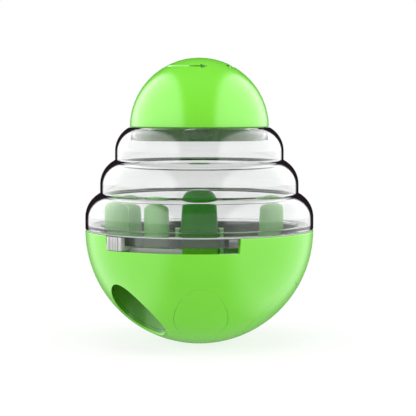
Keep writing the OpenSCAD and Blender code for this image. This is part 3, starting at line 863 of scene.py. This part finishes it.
def body_outline(body, ball_radius, rim, steps=22):
    """Outline of the clear body's wall: up the outside, down neck and inside, round the skirt."""
    def step_radius(i):
        return ball_radius - i * body.step_width

    def step_height(i):
        return body.foot + body.first_wall + i * body.step_height

    outer = [(ball_radius, body.foot, body.edge)]
    inner = []
    last = body.steps - 1
    small = body.shoulder - body.wall
    inner_round = 0.75 * body.inner_crease
    for i in range(body.steps):
        centre = (step_radius(i) - body.shoulder, step_height(i))
        if i < last:
            wall = step_radius(i + 1)
            fillet_r = wall + body.crease
            fillet = (fillet_r, centre[1] + math.sqrt((body.shoulder + body.crease) ** 2
                                                      - (fillet_r - centre[0]) ** 2))
            end = math.atan2(fillet[1] - centre[1], fillet[0] - centre[0])
            outer += arc(centre, body.shoulder, 0, end, steps)
            outer += arc(fillet, body.crease, end + math.pi, math.pi, steps=6)[1:]
            reach = math.acos((wall - body.wall - centre[0]) / small)
        else:
            end = math.asin((body.seam - centre[1]) / body.shoulder)
            outer += arc(centre, body.shoulder, 0, end, steps)[:-1]
            outer.append((centre[0] + body.shoulder * math.cos(end), body.seam, body.edge))
            reach = math.acos((body.neck_outer - centre[0]) / small)
        round_in = arc(centre, small, 0, reach, steps)
        if i < last:
            corner = round_in[-1]
            round_in = [p for p in round_in if math.dist(p, corner) > body.inner_crease]
            round_in.append((*corner, inner_round))
        inner = round_in + inner if not inner else inner + round_in
    neck_foot = body.seam - body.neck_depth
    neck = [(body.neck_inner, body.seam, body.edge), (body.neck_inner, neck_foot, body.edge),
            (body.neck_outer, neck_foot, body.edge)]
    skirt_in = body.skirt_outer - body.skirt_wall
    foot = [(ball_radius - body.wall, body.foot + body.flange, body.edge * 1.5),
            (skirt_in, body.foot + body.flange, body.edge),
            (skirt_in, rim - body.skirt_depth, body.edge),
            (body.skirt_outer, rim - body.skirt_depth, body.edge), (body.skirt_outer, body.foot, 0)]
    return rounded(outer + neck + inner[::-1] + foot)


def make_clear_body():
    """The clear stepped body with its neck and skirt, its stop lug and the cams on skirt and neck."""
    s = settings()
    body = s["body"]
    bowl = s["bowl"]
    piece = new_object("stepped_body", turned(body_outline(body, bowl.radius, bowl.rim)))
    skirt_z = bowl.rim - body.skirt_depth
    in_skirt = body.skirt_outer - body.sunk
    lug_right = bowl.window_right - body.lug_gap
    lug_top = bowl.rim - 0.1 * MM
    lug_edge = 0.2 * MM
    lug = box_outline(in_skirt, bowl.radius - body.lug_clearance, skirt_z + body.edge, lug_top, lug_edge)
    additions = [ring_part(lug_right - body.lug_arc, lug_right, lug, steps=6)]
    for az in CAM_AZIMUTHS:
        additions.append(twist_cam(math.radians(az), body.cam_arc, in_skirt, body.cam_reach,
                                   bowl.rim - body.cam_depth, body.cam_thickness, -body.lead))
    for az in CAP_CAM_AZIMUTHS:
        additions.append(twist_cam(math.radians(az), body.neck_cam_arc, body.neck_cam_reach,
                                   body.neck_inner + body.sunk, body.seam - body.neck_cam_depth,
                                   body.cam_thickness, body.neck_lead))
    combine(piece, joined(additions), "UNION")
    smooth(piece)
    mark(piece, OUTER, lambda face: face.normal.xy.dot(face.center.xy) > 0)
    finish_piece(piece, "upper_body", finish("clear_body"), "clear_plastic", "clear_body")


def arrow_cutter(cap, centre_z, tail, head, steps=48):
    """What is cut away for one curved arrow: its line and its head, down to a floor that follows the dome."""
    way = 1 if head > tail else -1
    head_length = cap.head_width + 0.2 * MM
    corner = 1.6

    # Radius and flare of each level. The chamfer goes on this many edge widths past the dome
    past = 2
    levels = [(cap.radius - cap.arrow_depth, 0.0), (cap.radius - cap.arrow_edge, 0.0),
              (cap.radius + past * cap.arrow_edge, (past + 1) * cap.arrow_edge)]

    def on_dome(x, y, radius):
        """The point above a place on a ball of that radius about the dome's middle."""
        return Vector((x, y, centre_z + math.sqrt(radius * radius - x * x - y * y)))

    def outline(flare):
        """The arrow's outline, wider by the flare all round."""
        half = cap.arrow_width / 2 + flare
        outer = [around(tail + (head - tail) * i / steps, cap.arrow_radius + half) for i in range(steps + 1)]
        inner = [around(tail + (head - tail) * i / steps, cap.arrow_radius - half) for i in range(steps + 1)]
        wing = cap.head_width / 2 + corner * flare
        point = head + way * (head_length + corner * flare) / cap.arrow_radius
        back = head - way * flare / cap.arrow_radius
        tip = [around(back, cap.arrow_radius + wing), around(point, cap.arrow_radius),
               around(back, cap.arrow_radius - wing)]
        return outer + tip + inner[::-1]

    mesh = bmesh.new()
    rows = []
    for radius, flare in levels:
        rows.append([mesh.verts.new(on_dome(p.x, p.y, radius)) for p in outline(flare)])
    count = len(rows[0])
    for one, two in zip(rows, rows[1:]):
        for i in range(count):
            mesh.faces.new((one[i], one[(i + 1) % count], two[(i + 1) % count], two[i]))
    for row, tag in ((rows[0], INSIDE), (rows[-1], PLAIN)):
        for i in range(steps):
            mesh.faces.new((row[i], row[i + 1], row[count - 2 - i], row[count - 1 - i])).material_index = tag
        mesh.faces.new(row[steps:steps + 5]).material_index = tag
    bmesh.ops.recalc_face_normals(mesh, faces=mesh.faces)
    return mesh


def make_dome():
    """The dome cap with its two recessed turn arrows."""
    s = settings()
    cap = s["cap"]
    centre_z = s["body"].seam
    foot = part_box("dome_cap")[0].z
    inner = cap.radius - cap.wall
    start = math.asin((foot - centre_z) / cap.radius)
    inner_start = math.asin((foot - centre_z) / inner)
    edge_turn = cap.edge / cap.radius
    shell = arc((0, centre_z), cap.radius, start + edge_turn, math.pi / 2, steps=96)
    outline = [(inner * math.cos(inner_start), foot), (cap.radius - cap.edge, foot)]
    outline += arc((cap.radius - cap.edge, foot + cap.edge), cap.edge, -math.pi / 2, 0, steps=5)[1:]
    tags = [PLAIN] * len(outline)
    outline += shell
    tags += [OUTSIDE] * (len(shell) - 1) + [PLAIN]
    hollow = arc((0, centre_z), inner, math.pi / 2, inner_start, steps=48)[:-1]
    outline += hollow
    tags += [BORE] * len(hollow)
    piece = tagged(new_object("dome", turned(outline, tags=tags)))
    arrows = [arrow_cutter(cap, centre_z, tail, head) for tail, head in ARROWS]
    combine(piece, joined(arrows), "DIFFERENCE")
    middle = Vector((0, 0, centre_z))
    skin = 0.05 * MM
    head_reach = 1.4 * cap.head_width

    def in_head(face):
        """Whether a face of an arrow lies below the dome's skin and near the arrow's head."""
        place = face.center
        if place.z < centre_z or not inner + SMALL < (place - middle).length < cap.radius - skin:
            return False
        heads = [around(head, cap.arrow_radius) for _, head in ARROWS]
        return any((place.xy - head.xy).length < head_reach for head in heads)

    # The arrow heads are marked for painted shade, in place of the shade in their recess
    mark(piece, PAINTED_SHADE, in_head)
    smooth(piece, {
        OUTSIDE: lambda p: (p - middle).normalized(),
        INSIDE: lambda p: (p - middle).normalized(),
        BORE: lambda p: (middle - p).normalized(),
    })
    finish_piece(piece, "cap", finish("glossy_green"), "green_plastic", "dome_cap")


def make_posts():
    """The five treat posts, each a little wider at its foot, with a round top and a peg."""
    tray = settings()["tray"]
    peg_edge = 0.2 * MM
    foot_inset = 0.02 * MM
    foot_height = 0.3 * MM
    wall_top = tray.post_height - tray.post_brow
    lean = math.atan2(tray.post_foot - tray.post_tip, wall_top)
    outline = [(0, -tray.peg_depth), (tray.peg - peg_edge, -tray.peg_depth),
               (tray.peg, -tray.peg_depth + peg_edge), (tray.peg, 0), (tray.post_foot, 0),
               (tray.post_foot - foot_inset, foot_height)]

    # Rings up the straight wall keep its shading even
    rings = 12
    for i in range(1, rings):
        share = i / rings
        outline.append((tray.post_foot + (tray.post_tip - tray.post_foot) * share, wall_top * share))
    outline += arc((tray.post_tip - tray.post_brow, wall_top), tray.post_brow, lean, math.pi / 2, steps=20)
    outline.append((0, tray.post_height))
    for node in ("post_outer_left", "post_rear_left", "post_inner_left", "post_rear", "post_right"):
        low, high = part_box(node)
        piece = new_object(node + "_piece", turned(outline, steps=96))
        place = Vector(((low.x + high.x) / 2, (low.y + high.y) / 2, tray.floor))
        piece.data.transform(Matrix.Translation(place))
        smooth(piece)
        finish_piece(piece, "base", finish("post_green_and_reflection"), "green_plastic", node)


def make_knob():
    """The centre knob with its brow and foot ring, and the column that it stands on."""
    tray = settings()["tray"]
    low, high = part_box("centre_knob")
    bore = tray.knob - tray.knob_wall
    ring = tray.knob + tray.foot_ring
    edge = 0.2 * MM
    wall_top = high.z - tray.brow
    lean = math.atan2(tray.knob - tray.knob_tip, wall_top - low.z)
    ring_top = low.z + tray.foot_ring_height
    outline = [(bore, low.z), (ring, low.z, edge), (ring, ring_top, edge),
               (tray.knob - tray.foot_ring_height * math.tan(lean), ring_top, edge)]
    outline += arc((tray.knob_tip - tray.brow, wall_top), tray.brow, lean, math.pi / 2, steps=16)
    outline.append((0, high.z))
    outline += [(0, wall_top), (tray.knob_tip - tray.knob_wall, wall_top, 2 * edge),
                (bore, low.z + tray.socket)]
    piece = new_object("knob", turned(rounded(outline), steps=128))
    smooth(piece)
    finish_piece(piece, "base", finish("knob_green"), "green_plastic", "centre_knob")
    column = smooth(polished_copy("knob_column"))
    finish_piece(column, "base", finish("glossy_green"), "green_plastic", "knob_column")


def make_clips():
    """The two spring clips beside the knob, with rounded edges."""
    piece = smooth(bevelled(polished_copy("knob_clips"), width=0.2 * MM, segments=3))
    finish_piece(piece, "base", finish("post_green_and_reflection"), "light_green_plastic", "knob_clips")


def rib_tree():
    """Geometry Nodes that stand upright ribs in a row round the axis and join them to the grip."""
    tree = bpy.data.node_groups.new("grip_ribs", "GeometryNodeTree")
    face = tree.interface
    face.new_socket("Grip", in_out="INPUT", socket_type="NodeSocketGeometry")
    for name, kind in (("Ribs", "Int"), ("First azimuth", "Float"), ("Azimuth step", "Float"),
                       ("Width", "Float"), ("Depth", "Float"), ("Height", "Float"),
                       ("Radius", "Float"), ("Middle height", "Float"), ("Material", "Material")):
        face.new_socket(name, in_out="INPUT", socket_type="NodeSocket" + kind)
    face.new_socket("Grip with ribs", in_out="OUTPUT", socket_type="NodeSocketGeometry")
    nodes = Nodes(tree)
    start = nodes.add("NodeGroupInput").outputs
    spot = nodes.add("ShaderNodeCombineXYZ", {"Z": start["Middle height"]}).outputs["Vector"]
    row = nodes.add("GeometryNodeMeshLine", {"Count": start["Ribs"], "Start Location": spot,
                                             "Offset": (0, 0, 0)}).outputs["Mesh"]
    size = nodes.add("ShaderNodeCombineXYZ", {"X": start["Width"], "Y": start["Depth"],
                                              "Z": start["Height"]}).outputs["Vector"]
    rib = nodes.add("GeometryNodeMeshCube", {"Size": size}).outputs["Mesh"]
    back = nodes.maths("MULTIPLY", start["Radius"], -1.0)
    shift = nodes.add("ShaderNodeCombineXYZ", {"Y": back}).outputs["Vector"]
    out = nodes.add("GeometryNodeTransform", {"Geometry": rib, "Translation": shift}).outputs["Geometry"]
    index = nodes.add("GeometryNodeInputIndex").outputs["Index"]
    turn = nodes.maths("MULTIPLY_ADD", index, start["Azimuth step"], start["First azimuth"])
    rotation = nodes.add("ShaderNodeCombineXYZ", {"Z": turn}).outputs["Vector"]
    ribs = nodes.add("GeometryNodeInstanceOnPoints", {"Points": row, "Instance": out,
                                                      "Rotation": rotation}).outputs["Instances"]
    real = nodes.add("GeometryNodeRealizeInstances", {"Geometry": ribs}).outputs["Geometry"]
    union = nodes.add("GeometryNodeMeshBoolean", operation="UNION", solver="EXACT")
    tree.links.new(start["Grip"], union.inputs["Mesh 2"])
    tree.links.new(real, union.inputs["Mesh 2"])
    done = nodes.add("GeometryNodeSetMaterial", {"Geometry": union.outputs["Mesh"],
                                                 "Material": start["Material"]}).outputs["Geometry"]
    nodes.add("NodeGroupOutput", {"Grip with ribs": done})
    return tree


def apply_tree(piece, tree, values):
    """Runs a Geometry Nodes tree on a piece with named inputs and keeps the plain mesh."""
    change = piece.modifiers.new(tree.name, "NODES")
    change.node_group = tree
    for item in tree.interface.items_tree:
        if item.item_type == "SOCKET" and item.in_out == "INPUT" and item.name in values:
            change[item.identifier] = values[item.name]
    evaluated(piece)


def make_grip():
    """The ribbed thumb grip: a curved block with its lower foot, two borders and a row of ribs."""
    s = settings()
    tray = s["tray"]
    bowl = s["bowl"]
    low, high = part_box("thumb_grip")
    face_inset = 0.3 * MM
    foot_reach = 0.7 * MM
    foot_gap = 0.4 * MM
    edge = 0.12 * MM
    face_r = bowl.radius - face_inset
    foot_r = s["body"].skirt_outer - foot_reach
    block_r = face_r - tray.grip_block
    foot_top = bowl.rim - s["body"].skirt_depth - foot_gap
    outline = rounded([(foot_r, low.z, edge), (face_r, low.z, edge), (face_r, high.z, edge),
                       (block_r, high.z, edge), (block_r, foot_top, 0), (foot_r, foot_top, edge)], steps=2)
    piece = new_object("grip", ring_part(tray.grip_left, tray.grip_left + tray.grip_arc, outline, steps=16))
    border_turn = tray.border_width / face_r
    step = (tray.grip_arc - 2 * border_turn) / (tray.grip_ribs + 1)
    first = tray.grip_left + border_turn + step
    common = {"Depth": 2 * tray.rib_height, "Height": high.z - low.z, "Radius": face_r,
              "Middle height": (high.z + low.z) / 2, "Material": finish("grip_plastic")}
    tree = rib_tree()
    apply_tree(piece, tree, {"Ribs": tray.grip_ribs, "First azimuth": first, "Azimuth step": step,
                             "Width": tray.rib_width, **common})
    apply_tree(piece, tree, {"Ribs": 2, "First azimuth": tray.grip_left + border_turn / 2,
                             "Azimuth step": tray.grip_arc - border_turn,
                             "Width": tray.border_width, **common})
    smooth(bevelled(piece, width=edge, segments=2))
    finish_piece(piece, "shutter", finish("grip_plastic"), "clear_plastic", "thumb_grip")


def make_rings():
    """The rim gasket and the cap seal, with round edges."""
    edge = 0.24 * MM
    for node, body, inner in SEAL_RINGS:
        low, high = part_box(node)
        piece = new_object(node + "_piece", turned(box_outline(inner, high.x, low.z, high.z, edge, steps=5)))
        smooth(piece)
        finish_piece(piece, body, finish("silicone"), "silicone", node)


def make_copies():
    """The pieces whose CAD shape is right: each gets a merged copy with smooth shading."""
    bowl = settings()["bowl"]
    middle = Vector((0, 0, bowl.rim))
    plug_rise = 1.7 * MM
    inner_r = bowl.radius - bowl.wall - plug_rise

    def on_ball(radius):
        return lambda p: abs((p - middle).length - radius) < 3 * SMALL

    plug_rules = {OUTSIDE: on_ball(bowl.radius), INSIDE: on_ball(inner_r)}
    plug_normals = {OUTSIDE: lambda p: (p - middle).normalized(), INSIDE: lambda p: (middle - p).normalized()}
    for node in ("front_plug", "right_plug"):
        piece = smooth(polished_copy(node, plug_rules), plug_normals)
        finish_piece(piece, "base", finish("glossy_green"), "green_plastic", node)
    for node, body, look, slot in (
            # Chute, cover, tray and collar get the darker green of painted shade
            ("outlet_chute", "base", "painted_shade_green", "green_plastic"),
            ("ballast_cover", "base", "painted_shade_green", "green_plastic"),
            ("maze_tray", "base", "painted_shade_green", "green_plastic"),
            ("ballast_weight", "base", "steel", "steel"),
            ("cover_screws", "base", "steel", "steel"),
            ("tray_screw", "base", "steel", "steel"),
            ("shutter_plate", "shutter", "frosted", "clear_plastic"),
            ("cap_collar", "cap", "painted_shade_green", "green_plastic")):
        piece = smooth(polished_copy(node))
        finish_piece(piece, body, finish(look), slot, node)


# Stage

def studio_world(stage):
    """A white backdrop. Gloss shows two tall soft boxes, and glass a white surround, dark at the top."""
    world = bpy.data.worlds.new("studio")
    bpy.context.scene.world = world
    world.use_nodes = True
    nodes = Nodes(world.node_tree)
    floor_end = 1.3 * stage.box_end
    horizon = 0.05
    glass_start = stage.glass_top - 0.3
    path = nodes.add("ShaderNodeLightPath").outputs
    way = nodes.add("ShaderNodeTexCoord").outputs["Generated"]
    way = nodes.add("ShaderNodeSeparateXYZ", {"Vector": way}).outputs

    def by_side(end, low, high, back):
        """Light that grows towards both sides and has only a share left at the back."""
        light = nodes.fade(nodes.maths("ABSOLUTE", way["X"]), stage.box_start, end, low, high)
        left = nodes.fade(way["Y"], stage.back_start, stage.back_end, 1.0, back)
        return nodes.maths("MULTIPLY", light, left)

    upper = by_side(stage.box_end, stage.box_dark, stage.box_light, stage.back_light)
    lower = by_side(floor_end, stage.floor_dark, stage.floor_light, stage.floor_back)
    high = nodes.fade(way["Z"], -horizon, horizon)
    gloss = nodes.add("ShaderNodeMix", {"Factor": high, "A": lower, "B": upper}).outputs["Result"]
    glass = nodes.fade(way["Z"], math.sin(glass_start), math.sin(stage.glass_top), 1.0, stage.dark)
    camera = path["Is Camera Ray"]
    through = path["Is Transmission Ray"]
    mirrored = nodes.maths("MULTIPLY", path["Is Glossy Ray"], nodes.maths("SUBTRACT", 1.0, through))
    shown = nodes.maths("ADD", camera, nodes.maths("ADD", through, mirrored))
    seen = nodes.maths("ADD", camera, nodes.maths("MULTIPLY", mirrored, gloss))
    seen = nodes.maths("ADD", seen, nodes.maths("MULTIPLY", through, glass))
    rest = nodes.maths("MULTIPLY", stage.ambient, nodes.maths("SUBTRACT", 1.0, shown))
    light = nodes.add("ShaderNodeBackground", {"Color": (1, 1, 1, 1),
                                               "Strength": nodes.maths("ADD", seen, rest)})
    nodes.add("ShaderNodeOutputWorld", {"Surface": light.outputs["Background"]})


def floor_material(radius, glow):
    """White floor that fades into the white backdrop with distance."""
    material, nodes = new_material("floor")
    fade_start = 0.45 * radius
    white = 0.93
    far = nodes.add("ShaderNodeVectorMath", {0: nodes.place()}, operation="LENGTH").outputs["Value"]
    matt = nodes.add("ShaderNodeBsdfDiffuse", {"Color": (white, white, white, 1)}).outputs["BSDF"]
    bright = nodes.add("ShaderNodeEmission", {"Color": (1, 1, 1, 1), "Strength": 1.0}).outputs["Emission"]
    gone = nodes.add("ShaderNodeBsdfTransparent").outputs["BSDF"]
    surface = nodes.mixed(nodes.fade(far, fade_start, radius), nodes.mixed(glow, matt, bright), gone)
    nodes.add("ShaderNodeOutputMaterial", {"Surface": surface})
    return material


def area_lamp(name, place, size, power):
    """A flat lamp that looks at the middle of the object and that gloss and glass don't show."""
    target = Vector((0, 0, 60 * MM))
    data = bpy.data.lights.new(name, "AREA")
    data.shape = "RECTANGLE"
    data.size = size[0]
    data.size_y = size[1]
    data.energy = power
    lamp = bpy.data.objects.new(name, data)
    lamp.location = place
    lamp.rotation_euler = (target - Vector(place)).to_track_quat("-Z", "Y").to_euler()
    lamp.visible_glossy = False
    lamp.visible_transmission = False
    bpy.context.scene.collection.objects.link(lamp)


def make_stage():
    """The world, the floor, the lamps and the camera."""
    stage = settings()["stage"]
    scene = bpy.context.scene
    scene.view_settings.view_transform = "Standard"
    studio_world(stage)
    disc = bmesh.new()
    bmesh.ops.create_circle(disc, cap_ends=True, radius=stage.floor_radius, segments=96)
    floor = new_object("floor", disc)
    floor.data.materials.append(floor_material(stage.floor_radius, stage.floor_glow))
    floor.visible_glossy = False
    side_azimuth = math.radians(66)
    side_height = 190 * MM
    side_size = (0.62, 0.7)
    top_place = (0, -120 * MM, 700 * MM)
    top_size = (0.5, 0.5)
    for side, name in ((-1, "left_lamp"), (1, "right_lamp")):
        place = around(side * side_azimuth, stage.lamp_distance, side_height)
        area_lamp(name, place, side_size, stage.lamp_power)
    area_lamp("top_lamp", top_place, top_size, stage.lamp_power)
    data = bpy.data.cameras.new("camera")
    data.lens = stage.lens
    data.sensor_width = 36
    camera = bpy.data.objects.new("camera", data)
    camera.location = (0, -stage.camera_distance, stage.camera_height)
    camera.rotation_euler = (math.pi / 2 - stage.camera_pitch, 0, -stage.camera_yaw)
    scene.collection.objects.link(camera)
    scene.camera = camera


# Operators and panel

def piece_operator(identifier, label, text, work):
    """An Operator class that runs one function."""
    def execute(self, context):
        work()
        return {"FINISHED"}

    return type("TUMBLER_OT_" + identifier, (bpy.types.Operator,), {
        "__doc__": text, "bl_idname": "tumbler." + identifier, "bl_label": label, "execute": execute})


OPERATORS = [
    piece_operator("bowl", "Bowl", "Makes the round bowl", make_bowl),
    piece_operator("copies", "Inner pieces", "Makes plugs, chute, weight, cover, screws, tray, collar",
                   make_copies),
    piece_operator("posts", "Posts", "Makes the five treat posts", make_posts),
    piece_operator("knob", "Knob", "Makes the centre knob and its column", make_knob),
    piece_operator("clips", "Clips", "Makes the two clips beside the knob", make_clips),
    piece_operator("grip", "Thumb grip", "Makes the ribbed thumb grip", make_grip),
    piece_operator("rings", "Seal rings", "Makes the rim gasket and the cap seal", make_rings),
    piece_operator("body", "Clear body", "Makes the clear stepped body", make_clear_body),
    piece_operator("dome", "Dome cap", "Makes the dome cap", make_dome),
    piece_operator("stage", "Stage", "Makes floor, lamps, world and camera", make_stage),
]


class TUMBLER_PT_pieces(bpy.types.Panel):
    """Lists the pieces that can be made."""
    bl_label = "Roly-poly"
    bl_idname = "TUMBLER_PT_pieces"
    bl_space_type = "VIEW_3D"
    bl_region_type = "UI"
    bl_category = "Roly-poly"

    def draw(self, context):
        for operator in OPERATORS:
            self.layout.operator(operator.bl_idname)


CLASSES = [*GROUPS.values(), *OPERATORS, TUMBLER_PT_pieces]


def register():
    """Registers the classes and gives the scene its settings."""
    for cls in CLASSES:
        bpy.utils.register_class(cls)
    for name, group in GROUPS.items():
        setattr(bpy.types.Scene, "tumbler_" + name, PointerProperty(type=group))


def unregister():
    """Takes the settings and classes away again."""
    for name in GROUPS:
        delattr(bpy.types.Scene, "tumbler_" + name)
    for cls in reversed(CLASSES):
        bpy.utils.unregister_class(cls)


def main():
    """Makes every piece and the stage, and writes the CAD box and the visual box."""
    register()
    for operator in OPERATORS:
        getattr(bpy.ops.tumbler, operator.bl_idname.split(".")[1])()
    bpy.context.view_layer.update()


if __name__ == "__main__":
    main()
